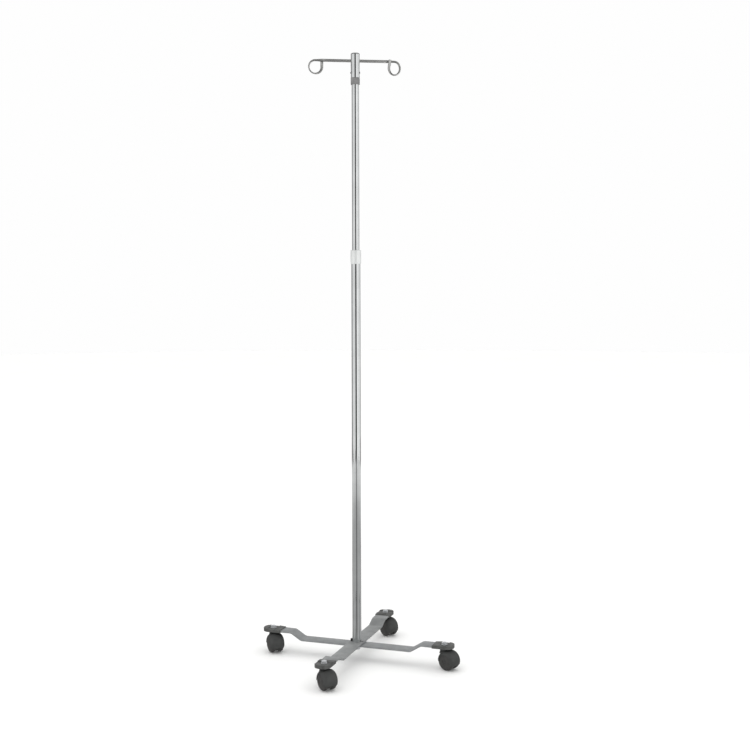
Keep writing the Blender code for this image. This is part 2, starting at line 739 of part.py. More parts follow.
class Assembly:
    """Names the finished pieces and puts them in the stand's collection."""

    def __init__(self, name):
        self.finishes = make_finishes()
        self.collection = bpy.data.collections.new(name)
        bpy.context.scene.collection.children.link(self.collection)

    def guide(self, name, location, turn=0.0, parent=None):
        """An empty that carries pieces; turn is about Z, in degrees."""
        empty = bpy.data.objects.new(name, None)
        empty.location = location
        empty.rotation_euler.z = math.radians(turn)
        empty.parent = parent
        empty.hide_render = True
        self.collection.objects.link(empty)
        return empty

    def add(self, name, body, finish, parent=None):
        body.name = name
        body.data.name = name
        body.data.materials.clear()
        body.data.materials.append(self.finishes[finish])
        body.parent = parent
        for collection in list(body.users_collection):
            collection.objects.unlink(body)
        self.collection.objects.link(body)
        return body

    def add_copy(self, name, original, finish, parent=None):
        """A further piece like the original, which shares its mesh."""
        body = bpy.data.objects.new(name, original.data)
        body.location = original.location
        body.rotation_euler = original.rotation_euler
        self.collection.objects.link(body)
        body.data.materials.clear()
        body.data.materials.append(self.finishes[finish])
        body.parent = parent
        return body


def add_base(stand):
    stand.add("lower_leg_bar", lower_leg_bar(), "satin_leg_steel")
    stand.add("upper_leg_bar", upper_leg_bar(), "satin_leg_steel")
    stand.add("base_bolt", base_bolt(), "zinc_fastener")
    stand.add("base_spring_washer", base_spring_washer(), "zinc_fastener")
    washer_top = LOWER_BAR_BOTTOM - GAP
    washer_bottom = washer_top - BASE_WASHER_THICKNESS
    washer = ring(BOLT_RADIUS + GAP, BASE_WASHER_RADIUS, washer_bottom, washer_top)
    stand.add("base_washer", washer, "zinc_fastener")
    pin_tops = {"left": HUB_TOP + 6.5 * MM, "right": HUB_TOP - 0.5 * MM}
    for side, (name, top) in zip((-1, 1), pin_tops.items()):
        pin = rod(PIN_RADIUS, LOWER_BAR_BOTTOM + GAP, top, 0.5 * MM)
        pin.location.x = side * PIN_X
        stand.add(f"locating_pin_{name}", pin, "dark_steel")


def add_caster_fixings(stand):
    """The cap, stem, washer and nut at the end of each leg."""
    makers = {
        "cap": (leg_cap, "charcoal_cap", 0),
        "stem": (caster_stem, "zinc_fastener", STEM_REACH),
        "stem_washer": (stem_washer, "zinc_fastener", STEM_REACH),
        "stem_nut": (stem_nut, "zinc_fastener", STEM_REACH),
    }
    guides = {leg: stand.guide(f"leg_{leg}", (0, 0, 0), turn) for leg, turn in LEGS.items()}
    for part, (make, finish, reach) in makers.items():
        original = None
        for leg, guide in guides.items():
            name = f"{part}_{leg}"
            if original is None:
                original = make()
                original.location.x = reach
                stand.add(name, original, finish, guide)
            else:
                stand.add_copy(name, original, finish, guide)


def add_casters(stand):
    """Each swivel guide stands on its stem's axis, and its X axis points along the trail."""
    originals = {}

    def piece(name, part, make, finish, parent):
        if part in originals:
            return stand.add_copy(name, originals[part], finish, parent)
        originals[part] = stand.add(name, make(), finish, parent)
        return originals[part]

    for leg, turn in LEGS.items():
        angle = math.radians(turn)
        stem = (STEM_REACH * math.cos(angle), STEM_REACH * math.sin(angle), 0)
        swivel = stand.guide(f"swivel_{leg}", stem, CASTER_TURN[leg])
        piece(f"housing_{leg}", "housing", caster_housing, "black_nylon", swivel)
        axle = piece(f"axle_{leg}", "axle", caster_axle, "zinc_fastener", swivel)
        axle.location = (TRAIL, 0, AXLE_HEIGHT)
        axle.rotation_euler.x = math.radians(90)
        for hand, side in (("a", -1), ("b", 1)):
            rolling = piece(f"wheel_{leg}_{hand}", "wheel", wheel, "black_nylon", swivel)
            rolling.location = (TRAIL, side * (WEB_HALF + GAP), AXLE_HEIGHT)
            lie_down = Matrix.Rotation(-side * math.radians(90), 4, "X")
            flat_down = Matrix.Rotation(math.radians(90) + math.pi / WHEEL_STEPS, 4, "Z")
            rolling.rotation_euler = (lie_down @ flat_down).to_euler()


def add_pole(stand):
    outer = ring(OUTER_RADIUS - OUTER_WALL, OUTER_RADIUS, HUB_TOP + GAP, OUTER_TOP)
    stand.add("outer_tube", outer, "chrome_tube")
    stand.add("pole_foot_plug", pole_foot_plug(), "white_acetal")
    stand.add("lock_collar", lock_collar(), "bright_collar")
    stand.add("grip_collet", grip_collet(), "white_acetal")
    stand.add("slide_bush", slide_bush(), "white_acetal")
    stand.add("inner_tube", inner_tube(), "chrome_tube")
    stand.add("stop_ring", stop_ring(), "grey_bush")


def add_head(stand):
    stand.add("head_sleeve", head_sleeve(), "chrome_tube")
    stand.add("head_cap", head_cap(), "chrome_tube")
    strap = hook_strap()
    strap.location.z = STRAP_HEIGHT
    strap.rotation_euler.z = math.radians(HOOK_TURN)
    stand.add("hook_strap", strap, "strap_steel")
    leaf = button_leaf()
    leaf.rotation_euler.z = math.radians(BUTTON_TURN)
    stand.add("button_leaf", leaf, "spring_steel")
    first = stand.add("button_right", snap_button(), "dark_steel")
    second = stand.add_copy("button_left", first, "dark_steel")
    for button, side in ((first, 1), (second, -1)):
        button.location.z = BUTTON_HEIGHT
        button.rotation_euler = (0, side * math.radians(90), math.radians(BUTTON_TURN))


clear_scene()
iv_stand = Assembly("iv_stand")
add_base(iv_stand)
add_caster_fixings(iv_stand)
add_casters(iv_stand)
add_pole(iv_stand)
add_head(iv_stand)
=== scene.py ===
"""Looks for a rolling IV stand: chrome telescoping pole, hooked crossbar, crossed legs on casters.

Metres, +Z up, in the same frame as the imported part. The pole stands on the Z axis.
"""

import json
import math

import bmesh
import bpy
from mathutils import Matrix, Vector


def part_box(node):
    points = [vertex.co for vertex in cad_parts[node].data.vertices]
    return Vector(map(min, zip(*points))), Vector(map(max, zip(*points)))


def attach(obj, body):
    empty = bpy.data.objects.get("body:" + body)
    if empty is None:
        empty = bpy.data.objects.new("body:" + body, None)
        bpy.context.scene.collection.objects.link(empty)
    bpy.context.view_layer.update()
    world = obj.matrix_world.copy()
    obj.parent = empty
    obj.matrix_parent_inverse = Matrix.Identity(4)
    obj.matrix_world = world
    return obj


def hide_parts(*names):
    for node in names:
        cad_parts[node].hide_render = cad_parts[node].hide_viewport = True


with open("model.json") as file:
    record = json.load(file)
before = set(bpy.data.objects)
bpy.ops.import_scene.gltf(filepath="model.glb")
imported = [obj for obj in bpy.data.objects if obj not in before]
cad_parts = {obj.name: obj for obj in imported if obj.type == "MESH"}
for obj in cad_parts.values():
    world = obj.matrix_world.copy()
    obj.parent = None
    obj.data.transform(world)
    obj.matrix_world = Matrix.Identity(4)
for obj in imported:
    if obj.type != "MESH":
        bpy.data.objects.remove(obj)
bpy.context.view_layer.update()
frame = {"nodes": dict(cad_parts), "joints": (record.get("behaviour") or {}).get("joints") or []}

MM = 0.001
CLEAR = 0.3 * MM  # between pieces that touch
LEGS = {"front": -90, "left": 180, "right": 0, "rear": 90}  # degrees from +X
HOOK_TURN = 26.5  # degrees from +X to the crossbar


# ---------------------------------------------------------------- modelling helpers


def work_on(piece):
    """Make this the only selected object, and the active one."""
    if bpy.context.mode != "OBJECT":
        bpy.ops.object.mode_set(mode="OBJECT")
    bpy.ops.object.select_all(action="DESELECT")
    piece.select_set(True)
    bpy.context.view_layer.objects.active = piece


def settle(piece):
    """Move the object's place, turn and size into its mesh."""
    work_on(piece)
    bpy.ops.object.transform_apply(location=True, rotation=True, scale=True)
    return piece


def start(name, **place):
    """Name the primitive that was just added, and settle it."""
    piece = bpy.context.object
    piece.name = name
    piece.data.name = name
    for key, value in place.items():
        setattr(piece, key, value)
    return settle(piece)


def edit(piece):
    """Enter edit mode on this object, with nothing selected."""
    work_on(piece)
    bpy.ops.object.mode_set(mode="EDIT")
    bpy.ops.mesh.select_all(action="DESELECT")


def leave():
    """Go back to object mode."""
    bpy.ops.object.mode_set(mode="OBJECT")


def choose(piece, kind, test):
    """In edit mode, select just the vertices, edges or faces that pass the test."""
    bpy.ops.mesh.select_mode(type=kind)
    bpy.ops.mesh.select_all(action="DESELECT")
    cage = bmesh.from_edit_mesh(piece.data)
    cage.normal_update()
    for element in {"VERT": cage.verts, "EDGE": cage.edges, "FACE": cage.faces}[kind]:
        if test(element):
            element.select_set(True)
    cage.select_flush_mode()
    bmesh.update_edit_mesh(piece.data)


def bisect(piece, point, normal, **settings):
    """Cut the whole mesh along a plane."""
    bpy.ops.mesh.select_mode(type="VERT")
    bpy.ops.mesh.select_all(action="SELECT")
    bpy.ops.mesh.bisect(plane_co=point, plane_no=normal, **settings)


def apply(piece, kind, **settings):
    """Add a modifier with these settings and apply it."""
    work_on(piece)
    modifier = piece.modifiers.new(kind, kind)
    for key, value in settings.items():
        setattr(modifier, key, value)
    bpy.ops.object.modifier_apply(modifier=modifier.name)
    return piece


def combine(piece, tool, operation="DIFFERENCE"):
    """Cut the tool out of the piece, or join it on, and remove the tool."""
    apply(piece, "BOOLEAN", operation=operation, solver="EXACT", object=tool)
    bpy.data.objects.remove(tool, do_unlink=True)
    edit(piece)
    bpy.ops.mesh.select_all(action="SELECT")
    bpy.ops.mesh.remove_doubles(threshold=0.000002)
    bpy.ops.mesh.dissolve_degenerate(threshold=0.000002)
    leave()
    return piece


def ease_edges(piece, width, segments=3, angle=40):
    """Round the edges that are sharper than the angle."""
    return apply(
        piece,
        "BEVEL",
        width=width,
        segments=segments,
        limit_method="ANGLE",
        angle_limit=math.radians(angle),
        miter_outer="MITER_ARC",
        use_clamp_overlap=True,
    )


def smooth(piece, angle=35):
    """Shade smooth, with edges sharper than the angle kept crisp."""
    work_on(piece)
    bpy.ops.object.shade_smooth_by_angle(angle=math.radians(angle))
    return piece


def rod(name, radius, bottom, top, sides=64):
    """A cylinder on the Z axis."""
    bpy.ops.mesh.primitive_cylinder_add(
        vertices=sides, radius=radius, depth=top - bottom, location=(0, 0, (top + bottom) / 2)
    )
    return start(name)


def block(name, low, high):
    """A box between two corners."""
    size = Vector(high) - Vector(low)
    bpy.ops.mesh.primitive_cube_add(size=1, location=(Vector(low) + Vector(high)) / 2)
    return start(name, scale=size)


def away(vertex):
    """How far a vertex is from the Z axis."""
    return math.hypot(vertex.co.x, vertex.co.y)


def is_rim(edge, radius, height, slack=0.05 * MM):
    """Whether an edge runs round the Z axis at this radius and height."""
    return all(abs(away(v) - radius) < slack and abs(v.co.z - height) < slack for v in edge.verts)


def round_rim(piece, radius, height, width, segments=4):
    """Round one rim of a piece that was turned about Z."""
    edit(piece)
    choose(piece, "EDGE", lambda edge: is_rim(edge, radius, height))
    bpy.ops.mesh.bevel(offset=width, segments=segments, affect="EDGES")
    leave()


def tube(name, radius, bore, bottom, top, rounding, sides=96):
    """A tube with softened rims."""
    piece = rod(name, radius, bottom, top, sides)
    edit(piece)
    choose(piece, "FACE", lambda face: abs(face.normal.z) > 0.9)
    bpy.ops.mesh.inset(thickness=radius - bore)
    bpy.ops.mesh.bridge_edge_loops()
    choose(
        piece,
        "EDGE",
        lambda edge: any(is_rim(edge, r, z) for r in (radius, bore) for z in (bottom, top)),
    )
    bpy.ops.mesh.bevel(offset=rounding, segments=3, affect="EDGES")
    leave()
    return smooth(piece)


def hexagon(name, across_flats, bottom, top, corner=0.9 * MM):
    """A hexagonal head or nut, with the turned chamfer on the corners of its top and bottom."""
    across_corners = 2 * across_flats / math.sqrt(3)
    piece = rod(name, across_corners / 2, bottom, top, sides=6)
    turned_radius = across_corners / 2 + 0.02 * MM  # just past the corners
    turned = rod("turned", turned_radius, bottom, top, sides=72)
    for height in (bottom, top):
        round_rim(turned, turned_radius, height, corner, segments=1)
    combine(piece, turned, "INTERSECT")
    ease_edges(piece, 0.15 * MM, segments=2, angle=20)
    return piece


def copies(master, places):
    """Copy a master piece to each named place, each copy with its own mesh, and remove it."""
    made = {}
    for name, matrix in places.items():
        piece = master.copy()
        piece.data = master.data.copy()
        piece.name = name
        piece.data.name = name
        piece.data.transform(matrix)
        bpy.context.scene.collection.objects.link(piece)
        made[name] = piece
    bpy.data.objects.remove(master, do_unlink=True)
    return made


def finish_piece(piece, material, body, slot, *nodes):
    """Give a piece its material and its CAD body, and hide the CAD nodes that it stands for. The slot
    is not used.
    """
    piece.data.materials.clear()
    piece.data.materials.append(material)
    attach(piece, body)
    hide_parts(*nodes)
    return piece


# ---------------------------------------------------------------- materials


def colour(code):
    """Turn an sRGB hex colour into linear RGBA."""
    channels = [int(code[i : i + 2], 16) / 255 for i in (1, 3, 5)]
    linear = [c / 12.92 if c <= 0.04045 else ((c + 0.055) / 1.055) ** 2.4 for c in channels]
    return (*linear, 1)


def add_node(tree, kind, inputs=None, **settings):
    """Add a node with its settings, and set or link its inputs."""
    made = tree.nodes.new(kind)
    for key, value in settings.items():
        setattr(made, key, value)
    for key, value in (inputs or {}).items():
        if isinstance(value, bpy.types.NodeSocket):
            tree.links.new(value, made.inputs[key])
        else:
            made.inputs[key].default_value = value
    return made


def new_material(name, metallic, roughness):
    """A new material's tree, shader and Object coordinates."""
    material = bpy.data.materials.new(name)
    material.use_nodes = True
    tree = material.node_tree
    shader = tree.nodes["Principled BSDF"]
    shader.inputs["Metallic"].default_value = metallic
    shader.inputs["Roughness"].default_value = roughness
    place = add_node(tree, "ShaderNodeTexCoord").outputs["Object"]
    return material, tree, shader, place


def plated(name, light, dark, roughness, grain, turn=0.0, relief=0.004 * MM, cloud=28, metallic=1.0):
    """Plated, turned, drawn or lacquered metal with fine lines in it.

    grain is the pattern's size along X, Y and Z in metres. Long in one direction and fine in the
    others, it draws the lines that the polishing wheel, the lathe or the rolls leave. turn swings
    them about Z in degrees, and cloud is how many slow changes of tone there are to a metre.
    """
    material, tree, shader, place = new_material(name, metallic, roughness[0])
    turned = add_node(
        tree,
        "ShaderNodeMapping",
        {"Vector": place, "Rotation": (0, 0, math.radians(turn)), "Scale": tuple(1 / g for g in grain)},
    )
    lines = add_node(
        tree,
        "ShaderNodeTexNoise",
        {"Vector": turned.outputs["Vector"], "Scale": 1.0, "Detail": 4.0, "Roughness": 0.6},
    )
    clouds = add_node(tree, "ShaderNodeTexNoise", {"Vector": place, "Scale": cloud, "Detail": 5.0})
    tone = add_node(
        tree,
        "ShaderNodeMapRange",
        {"Value": clouds.outputs["Fac"], "From Min": 0.35, "From Max": 0.65},
    )
    base = add_node(
        tree,
        "ShaderNodeMix",
        {0: tone.outputs["Result"], 6: colour(light), 7: colour(dark)},
        data_type="RGBA",
    )
    tree.links.new(base.outputs[2], shader.inputs["Base Color"])
    both = add_node(
        tree,
        "ShaderNodeMath",
        {0: lines.outputs["Fac"], 1: clouds.outputs["Fac"]},
        operation="ADD",
    )
    sheen = add_node(
        tree,
        "ShaderNodeMapRange",
        {
            "Value": both.outputs["Value"],
            "From Min": 0.7,
            "From Max": 1.3,
            "To Min": roughness[0],
            "To Max": roughness[1],
        },
    )
    tree.links.new(sheen.outputs["Result"], shader.inputs["Roughness"])
    bump = add_node(
        tree,
        "ShaderNodeBump",
        {"Height": lines.outputs["Fac"], "Strength": 0.5, "Distance": relief},
    )
    tree.links.new(bump.outputs["Normal"], shader.inputs["Normal"])
    return material


def moulded(name, light, dark, roughness, grit, relief, mottle=60, metallic=0.0):
    """Moulded plastic or rubber: a spark-eroded grain all over, and a slow change of tone."""
    material, tree, shader, place = new_material(name, metallic, roughness[0])
    mottling = add_node(tree, "ShaderNodeTexNoise", {"Vector": place, "Scale": mottle, "Detail": 6.0})
    tone = add_node(
        tree,
        "ShaderNodeMapRange",
        {"Value": mottling.outputs["Fac"], "From Min": 0.3, "From Max": 0.7},
    )
    base = add_node(
        tree,
        "ShaderNodeMix",
        {0: tone.outputs["Result"], 6: colour(dark), 7: colour(light)},
        data_type="RGBA",
    )
    tree.links.new(base.outputs[2], shader.inputs["Base Color"])
    grain = add_node(
        tree,
        "ShaderNodeTexNoise",
        {"Vector": place, "Scale": 1 / grit, "Detail": 3.0, "Roughness": 0.7},
    )
    sheen = add_node(
        tree,
        "ShaderNodeMapRange",
        {
            "Value": grain.outputs["Fac"],
            "From Min": 0.3,
            "From Max": 0.7,
            "To Min": roughness[0],
            "To Max": roughness[1],
        },
    )
    tree.links.new(sheen.outputs["Result"], shader.inputs["Roughness"])
    bump = add_node(
        tree,
        "ShaderNodeBump",
        {"Height": grain.outputs["Fac"], "Strength": 0.8, "Distance": relief},
    )
    tree.links.new(bump.outputs["Normal"], shader.inputs["Normal"])
    return material


# Chrome plate on drawn tube: mirror-like, with faint lines along the tube and a few dull clouds.
chrome_tube = plated(
    "chrome_plate_on_tube",
    "#dfe1e1",
    "#d6d8d8",
    roughness=(0.04, 0.09),
    grain=(0.5 * MM, 0.5 * MM, 90 * MM),
    relief=0.0006 * MM,
)
# Turned aluminium, satin finished: whiter and softer than the chrome, with fine rings from the lathe.
collar_metal = plated(
    "turned_aluminium",
    "#e3e5e4",
    "#dcdedd",
    roughness=(0.38, 0.48),
    grain=(20 * MM, 20 * MM, 0.35 * MM),
    metallic=0.4,
)
# Nickel-plated flat strip: semi-bright, a little uneven after bending, with lines along the strip.
strap_metal = plated(
    "nickel_plated_strip",
    "#b2b2b0",
    "#a2a2a0",
    roughness=(0.26, 0.36),
    grain=(60 * MM, 1.2 * MM, 0.8 * MM),
    turn=-HOOK_TURN,
    metallic=0.85,
)
# Zinc-plated fasteners: bright and slightly blue, with a fine crystalline cloud.
zinc = plated(
    "zinc_plated_steel",
    "#e9ebec",
    "#d6d9dc",
    roughness=(0.25, 0.4),
    grain=(1.5 * MM, 1.5 * MM, 1.5 * MM),
    cloud=160,
    metallic=0.7,
)
# Silver lacquer over rolled flat steel: an even mid grey that shines softly, with rolling lines.
lower_bar_lacquer = plated(
    "silver_lacquer_lower_leg",
    "#959798",
    "#8b8d8e",
    roughness=(0.42, 0.56),
    grain=(70 * MM, 0.9 * MM, 0.9 * MM),
    cloud=45,
    metallic=0.35,
)
upper_bar_lacquer = plated(
    "silver_lacquer_upper_leg",
    "#959797",
    "#8a8c8c",
    roughness=(0.42, 0.56),
    grain=(0.9 * MM, 70 * MM, 0.9 * MM),
    cloud=45,
    metallic=0.35,
)
# Moulded ABS leg caps: charcoal, pebbled, satin, and chalkier where they are handled.
cap_plastic = moulded("pebbled_abs_cap", "#5c5d5b", "#3a3b39", (0.42, 0.6), 0.9 * MM, 0.12 * MM)
# Glass-filled nylon caster housings: nearly black and dull, with a fine spark grain.
housing_nylon = moulded("nylon_housing", "#3c3d3c", "#333433", (0.5, 0.62), 0.5 * MM, 0.04 * MM)
# Nylon wheels: a little browner and smoother than their housings, with floor dust worked in.
wheel_nylon = moulded("nylon_wheel", "#3d3c3a", "#323130", (0.42, 0.6), 0.7 * MM, 0.03 * MM, mottle=110)
# Soft vinyl stop ring: flat mid grey.
ring_vinyl = moulded(
    "soft_vinyl_ring", "#828282", "#707070", (0.45, 0.6), 0.6 * MM, 0.03 * MM, mottle=90
)
# Acetal bushes: milky white, smooth and faintly waxy.
acetal = moulded("white_acetal", "#ecebe4", "#dddcd3", (0.3, 0.42), 0.6 * MM, 0.01 * MM)
# Black oxide on small steel pins: dark, with a dull oily shine.
black_oxide = moulded(
    "black_oxide_steel", "#2f2f2f", "#212121", (0.35, 0.5), 0.4 * MM, 0.01 * MM, metallic=0.8
)
# Spring steel leaf: bright, with lines along the strip.
spring_steel = plated(
    "spring_steel_leaf",
    "#a9abae",
    "#95979b",
    roughness=(0.22, 0.34),
    grain=(0.5 * MM, 0.5 * MM, 30 * MM),
)


# ---------------------------------------------------------------- pole

OUTER_BORE = 11.3 * MM
INNER_BORE = 9 * MM
INNER_CLEAR = 10.3 * MM  # radius that clears the inner tube
SMOOTH_RUN_ENDS = (1580 * MM, 1612 * MM)  # just below and above the button holes
BUTTON_RADIUS = 3 * MM
BUTTON_TIP = 13 * MM


def node_span(node):
    """The heights of a CAD node's bottom and top."""
    low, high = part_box(node)
    return low.z, high.z


def node_radius(node):
    """The radius of a CAD node that stands on the Z axis."""
    low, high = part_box(node)
    return (high.x - low.x) / 2


def make_pole():
    """The two chrome tubes of the telescoping pole."""
    bottom, top = node_span("outer_tube")
    outer = tube("pole_outer", node_radius("outer_tube"), OUTER_BORE, bottom, top, 0.35 * MM)
    finish_piece(outer, chrome_tube, "base", "chrome_tube", "outer_tube")
    bottom, top = node_span("inner_tube")
    inner = tube("pole_inner", node_radius("inner_tube"), INNER_BORE, bottom, top, 0.3 * MM)
    edit(inner)
    for height in SMOOTH_RUN_ENDS:
        bisect(inner, (0, 0, height), (0, 0, 1))
    leave()
    for hole in button_holes():
        combine(inner, hole)
    smooth(inner)
    finish_piece(inner, chrome_tube, "mast", "chrome_tube", "inner_tube")


def button_holes():
    """A cutter for each snap button's hole, through the tube's wall."""
    holes = []
    for button in ("button_left", "button_right"):
        low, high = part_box(button)
        middle = (low + high) / 2
        direction = Vector((middle.x, middle.y, 0)).normalized()
        bpy.ops.mesh.primitive_cylinder_add(
            vertices=48, radius=BUTTON_RADIUS + CLEAR, depth=12 * MM
        )
        hole = start(
            "hole",
            rotation_euler=direction.to_track_quat("Z", "Y").to_euler(),
            location=direction * 10.5 * MM + Vector((0, 0, middle.z)),
        )
        holes.append(hole)
    return holes


def make_collar():
    """The twist-lock collar: a bright sleeve with a chamfered mouth and a coned seat inside."""
    bottom, top = node_span("lock_collar")
    radius = node_radius("lock_collar")
    mouth = 10.35 * MM
    well_radius = 12.8 * MM
    seat_radius = 11.3 * MM
    neck_radius = 10 * MM
    collar = rod("twist_lock_collar", radius, bottom, top, sides=96)
    combine(collar, rod("bore", mouth, bottom - 5 * MM, top + 5 * MM, sides=96))
    well = rod("well", well_radius, bottom - 5 * MM, bottom + 18 * MM, sides=96)
    edit(well)
    choose(well, "FACE", lambda face: face.normal.z > 0.9)
    bpy.ops.mesh.extrude_region_move(TRANSFORM_OT_translate={"value": (0, 0, 12.4 * MM)})
    bpy.ops.transform.resize(value=(seat_radius / well_radius, seat_radius / well_radius, 1))
    bpy.ops.mesh.extrude_region_move(TRANSFORM_OT_translate={"value": (0, 0, 2 * MM)})
    bpy.ops.transform.resize(value=(neck_radius / seat_radius, neck_radius / seat_radius, 1))
    leave()
    combine(collar, well)
    round_rim(collar, radius, top, 2.4 * MM, segments=2)
    round_rim(collar, radius, bottom, 0.5 * MM, segments=2)
    round_rim(collar, mouth, top, 0.3 * MM, segments=2)
    ease_edges(collar, 0.15 * MM, segments=2, angle=18)
    smooth(collar, 25)
    finish_piece(collar, collar_metal, "lock_collar", "bright_collar", "lock_collar")


def make_stop_ring():
    """The soft ring that the head rests on."""
    bottom, top = node_span("stop_ring")
    ring = tube("stop_ring_soft", node_radius("stop_ring"), INNER_CLEAR, bottom, top, 0.8 * MM)
    finish_piece(ring, ring_vinyl, "mast", "grey_bush", "stop_ring")


# ---------------------------------------------------------------- head

HEAD_BORE_DEPTH = 51 * MM
STRAP_HEIGHT = 1634.3 * MM
STRAP_WIDTH = 7.6 * MM
STRAP_THICKNESS = 3 * MM


def make_head():
    """The head: a sleeve and its domed top in one, slotted for the strap."""
    bottom, _ = node_span("head_sleeve")
    _, top = node_span("head_cap")
    radius = node_radius("head_sleeve")
    head = rod("head", radius, bottom, top, sides=96)
    round_rim(head, radius, top, 4.6 * MM, segments=10)
    edit(head)
    choose(head, "FACE", lambda face: face.normal.z < -0.9)
    bpy.ops.mesh.inset(thickness=radius - INNER_CLEAR)
    bpy.ops.mesh.extrude_region_move(TRANSFORM_OT_translate={"value": (0, 0, HEAD_BORE_DEPTH)})
    leave()
    round_rim(head, radius, bottom, 0.5 * MM, segments=3)
    for hole in button_holes():
        combine(head, hole)
    half_slot = STRAP_THICKNESS / 2 + CLEAR
    half_height = STRAP_WIDTH / 2 + CLEAR
    slot = block(
        "slot",
        (-2 * radius, -half_slot, STRAP_HEIGHT - half_height),
        (2 * radius, half_slot, STRAP_HEIGHT + half_height),
    )
    slot.rotation_euler.z = math.radians(HOOK_TURN)
    settle(slot)
    combine(head, slot)
    ease_edges(head, 0.2 * MM, segments=2, angle=50)
    smooth(head)
    finish_piece(head, chrome_tube, "mast", "chrome_tube", "head_sleeve", "head_cap")


def make_buttons():
    """A domed nose with a flange behind it, made once along +Z from the pole's axis."""
    nose = rod("button", BUTTON_RADIUS, 7 * MM, BUTTON_TIP, sides=48)
    round_rim(nose, BUTTON_RADIUS, BUTTON_TIP, 1.5 * MM, segments=6)
    flange = rod("flange", 4.2 * MM, 6.2 * MM, 7.5 * MM, sides=48)
    combine(nose, flange, "UNION")
    ease_edges(nose, 0.12 * MM, segments=2, angle=50)
    smooth(nose)
    places = {}
    for side in ("left", "right"):
        low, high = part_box(f"button_{side}")
        middle = (low + high) / 2
        direction = Vector((middle.x, middle.y, 0)).normalized()
        turn = direction.to_track_quat("Z", "Y").to_matrix().to_4x4()
        places[f"snap_button_{side}"] = Matrix.Translation((0, 0, middle.z)) @ turn
    for name, piece in copies(nose, places).items():
        node = name.replace("snap_", "")
        finish_piece(piece, black_oxide, node, "dark_steel", node)


def eased(share):
    """Ease a share between 0 and 1 in and out, and hold it beyond them."""
    share = min(max(share, 0.0), 1.0)
    return share * share * (3 - 2 * share)


def blend(begin, end, share):
    """Go from begin to end, eased."""
    return begin + (end - begin) * eased(share)


# Each loop's middle out from the pole and its half sizes, in millimetres, with how far its end
# rises past the bar and leans outward, in degrees.
LOOPS = {
    "left": {
        "side": -1,
        "centre": 106.6,
        "half_width": 17.6,
        "half_height": 17.2,
        "rise": 2,
        "lean": 0,
    },
    "right": {
        "side": 1,
        "centre": 105.4,
        "half_width": 15.3,
        "half_height": 17.9,
        "rise": 4.5,
        "lean": 9,
    },
}
STRAP_PASS = 6 * MM  # how far each end stands aside to pass the bar
ON_EDGE = -90  # degrees of twist in the straight part, which stands on edge
IN_LOOP = -15
AT_FOOT = -50  # where the curl is over and the end turns up
AT_TIP = -80
TWIST_RUN = 32 * MM  # length over which the bar turns from on edge to its twist in the loop


def half_strap(loop):
    """Stations of half the strap, from the head to its tip: centre, outward direction, twist."""
    side = loop["side"]
    middle = loop["centre"] * MM
    half_width = loop["half_width"] * MM
    half_height = loop["half_height"] * MM
    twist_start = middle - TWIST_RUN
    skyward = Vector((0, 0, 1))
    stations = []
    for step in range(9):
        stations.append((Vector((side * twist_start * step / 8, 0, 0)), skyward, ON_EDGE))
    straight_steps = 14
    for step in range(1, straight_steps):
        share = step / straight_steps
        reach = twist_start + (middle - twist_start) * share
        stations.append((Vector((side * reach, 0, 0)), skyward, blend(ON_EDGE, IN_LOOP, share)))
    arc_steps = 90
    for step in range(arc_steps + 1):
        share = step / arc_steps
        angle = math.radians(270 * share)
        outward = Vector((side * math.sin(angle), 0, math.cos(angle)))
        reach = side * (middle + half_width * math.sin(angle))
        aside = -side * STRAP_PASS * eased((share - 0.2) / 0.8)
        twist = blend(IN_LOOP, AT_FOOT, (share - 0.6) / 0.4)
        centre = Vector((reach, aside, half_height * (math.cos(angle) - 1)))
        stations.append((centre, outward, twist))
    foot = stations[-1][0]
    lean = math.radians(loop["lean"])
    upward = Vector((side * math.sin(lean), 0, math.cos(lean)))
    outward = Vector((-side * math.cos(lean), 0, math.sin(lean)))
    end_steps = 16
    for step in range(1, end_steps + 1):
        share = step / end_steps
        centre = foot + upward * (half_height + loop["rise"] * MM) * share
        stations.append((centre, outward, blend(AT_FOOT, AT_TIP, share)))
    return stations


def make_strap():
    """One flat bar through the head, on edge, curled into a loop at each end."""
    left, right = (half_strap(loop) for loop in LOOPS.values())
    stations = list(reversed(left)) + right[1:]
    last = len(stations) - 1
    bpy.ops.mesh.primitive_grid_add(x_subdivisions=last, y_subdivisions=1, size=1)
    strap = start("hook_strap_formed")
    rearward = Vector((0, 1, 0))
    for vertex in strap.data.vertices:
        index = round((vertex.co.x + 0.5) * last)
        centre, outward, twist = stations[index]
        before = stations[max(index - 1, 0)][0]
        after = stations[min(index + 1, last)][0]
        along = (after - before).normalized()
        angle = math.radians(twist)
        across = rearward * math.cos(angle) + outward * math.sin(angle)
        across = (across - along * across.dot(along)).normalized()
        vertex.co = centre + across * STRAP_WIDTH * vertex.co.y
    apply(strap, "SOLIDIFY", thickness=STRAP_THICKNESS, offset=0, use_even_offset=True)
    ease_edges(strap, 0.7 * MM, segments=3, angle=50)
    strap.rotation_euler.z = math.radians(HOOK_TURN)
    strap.location.z = STRAP_HEIGHT
    settle(strap)
    smooth(strap, 40)
    finish_piece(strap, strap_metal, "mast", "strap_steel", "hook_strap")


# ---------------------------------------------------------------- base

STEM_REACH = 252 * MM
BAR_WIDTH = 40 * MM
BAR_THICKNESS = 5 * MM
JOGGLE_INNER = 160 * MM
JOGGLE_OUTER = 190 * MM
STEM_RADIUS = 4 * MM
HUB_BOLT_RADIUS = 5 * MM


